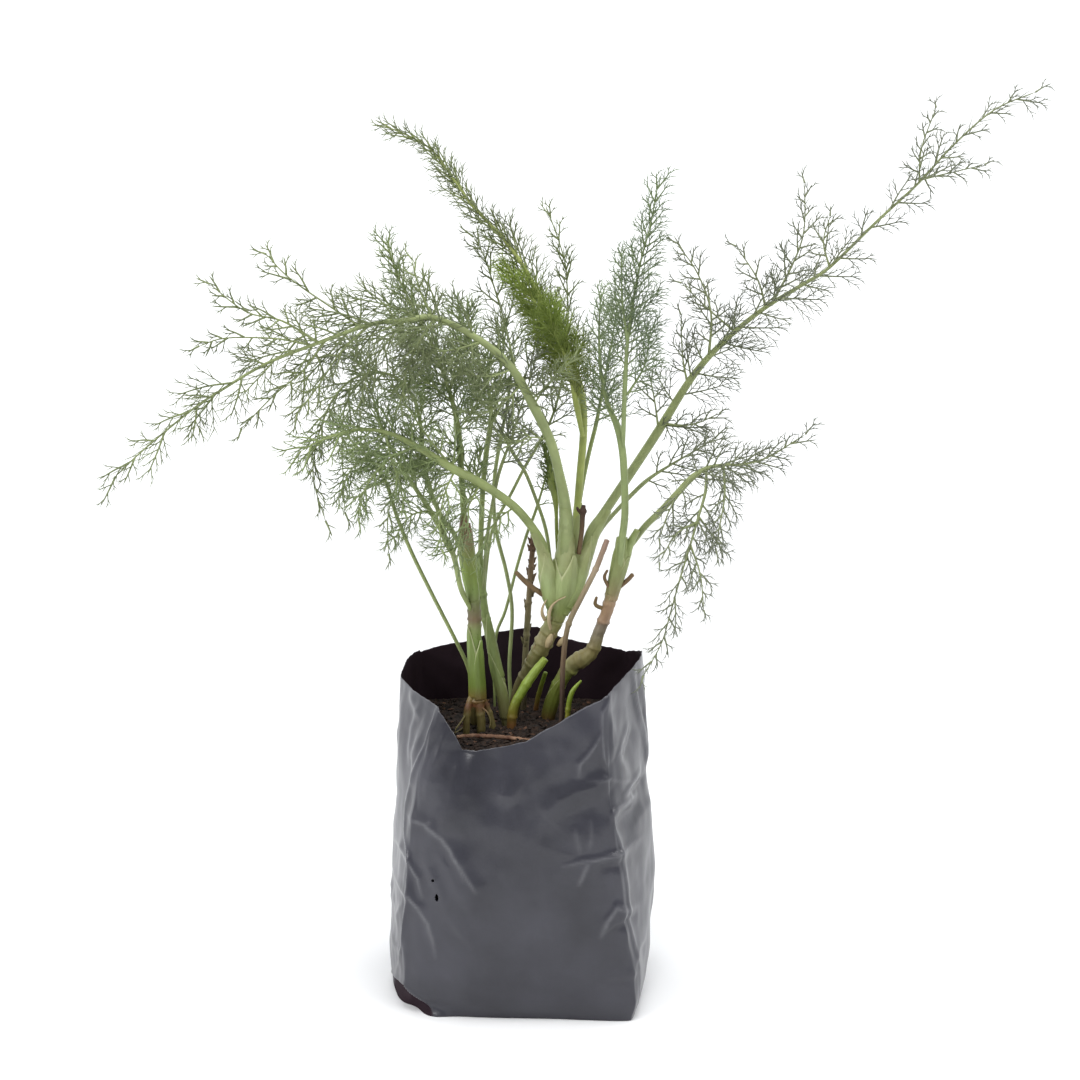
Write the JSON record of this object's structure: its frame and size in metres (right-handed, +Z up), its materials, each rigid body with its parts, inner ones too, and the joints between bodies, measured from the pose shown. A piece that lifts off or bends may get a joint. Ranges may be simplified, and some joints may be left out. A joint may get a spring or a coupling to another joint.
{
  "type": "potted fennel",
  "caption": "Bushy feathery fennel plant with arching thread-leaved fronds, standing in soil in an open-topped black gusseted grow bag.",
  "frame": {"origin": "middle of the grow bag's flat underside, on the surface that it stands on", "axes": "+Z up, and -Y towards the viewer of the bag's front panel, which is turned a few degrees from it"},
  "size_m": [0.4653, 0.123, 0.4743],
  "materials": {
    "bag_film": "satin",
    "potting_soil": "matte",
    "green_stem": "satin",
    "lime_shoot": "satin",
    "frond": "matte",
    "young_frond": "matte",
    "dry_stem": "matte"
  },
  "bodies": {
    "root": {"grow_bag": "bag_film", "potting_soil": "potting_soil", "left_stem": "green_stem", "left_second_stem": "green_stem", "middle_stem": "green_stem", "right_stem": "green_stem", "old_stem": "dry_stem", "cut_stalk": "dry_stem", "lime_shoot": "lime_shoot", "back_shoot": "lime_shoot", "small_sprout": "lime_shoot", "dry_twig": "dry_stem", "leaf_left_arch": "frond", "leaf_lower_left_arch": "frond", "leaf_young_tall": "frond", "young_leaf_cluster": "young_frond", "folded_young_leaf": "young_frond", "leaf_big_right": "frond", "leaf_back_right": "frond", "leaf_back_middle": "frond", "leaf_right_upright": "frond", "leaf_right_droop": "frond", "leaf_left_upright": "frond", "leaf_left_second": "frond", "leaf_left_outer": "frond", "leaf_left_hanging": "frond", "leaf_left_slim": "frond", "leaf_thin_left": "frond", "leaf_thin_right": "frond", "leaf_back_top": "frond", "leaf_back_left": "frond", "leaf_thin_back": "frond"}
  },
  "joints": []
}
